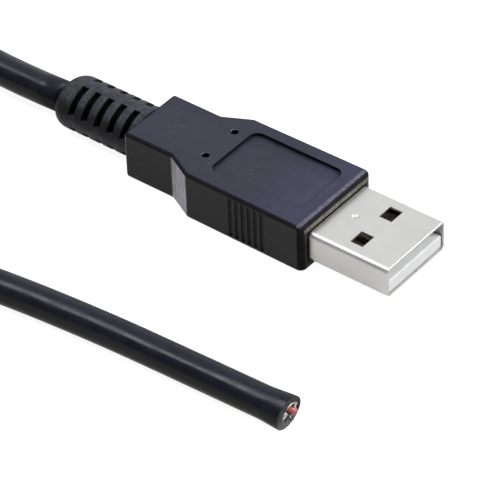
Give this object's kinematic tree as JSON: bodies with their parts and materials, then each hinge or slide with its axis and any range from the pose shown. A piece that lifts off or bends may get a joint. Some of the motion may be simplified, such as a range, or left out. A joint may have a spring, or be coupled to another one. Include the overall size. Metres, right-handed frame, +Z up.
{
  "type": "usb cable",
  "caption": "Black data cable with a rectangular metal-shelled plug, a slotted strain relief and a blunt cut end showing its wires.",
  "frame": {"origin": "under the middle of the plug, from the strain relief to the mouth, on the surface that the plug lies on", "axes": "+X along the plug, out of its mouth; +Y to the left when looking out of the mouth; +Z up, away from the surface that it lies on"},
  "size_m": [0.1457, 0.0598, 0.0139],
  "materials": {
    "black_overmould": "satin moulded PVC",
    "plated_shell": "bright nickel plating",
    "tinned_sheet": "tinned sheet",
    "white_insulator": "smooth moulded plastic",
    "gilded_contact": "gold plating",
    "solder": "dull solder",
    "inner_mould": "plain moulded plastic",
    "cable_jacket": "smooth PVC with a soft gloss",
    "braid": "fine tinned braid",
    "foil": "bright foil",
    "tinned_wire": "tinned strands",
    "copper": "bare copper",
    "strap": "woven strap",
    "red_insulation": "smooth plastic",
    "white_insulation": "smooth plastic",
    "green_insulation": "smooth plastic",
    "black_insulation": "smooth plastic"
  },
  "bodies": {
    "root": {"black_wire": "black_insulation", "black_wire_core": "copper", "braid_in_plug": "braid", "cable_coil": "cable_jacket", "cable_to_coil": "cable_jacket", "cable_to_cut_end": "cable_jacket", "coil_strap": "strap", "cut_end_black_core": "copper", "cut_end_black_wire": "black_insulation", "cut_end_braid": "braid", "cut_end_drain_wire": "tinned_wire", "cut_end_foil": "foil", "cut_end_green_core": "copper", "cut_end_green_wire": "green_insulation", "cut_end_red_core": "copper", "cut_end_red_wire": "red_insulation", "cut_end_white_core": "copper", "cut_end_white_wire": "white_insulation", "data_minus_contact": "gilded_contact", "data_minus_solder_joint": "solder", "data_plus_contact": "gilded_contact", "data_plus_solder_joint": "solder", "drain_wire_in_plug": "tinned_wire", "foil_in_plug": "foil", "green_wire": "green_insulation", "green_wire_core": "copper", "ground_contact": "gilded_contact", "ground_solder_joint": "solder", "inner_mould": "inner_mould", "insulator": "white_insulator", "jacket_in_plug": "cable_jacket", "overmould": "black_overmould", "plug_shell": "plated_shell", "power_contact": "gilded_contact", "power_solder_joint": "solder", "rear_cover_bottom": "tinned_sheet", "rear_cover_top": "tinned_sheet", "red_wire": "red_insulation", "red_wire_core": "copper", "white_wire": "white_insulation", "white_wire_core": "copper"}
  },
  "joints": []
}
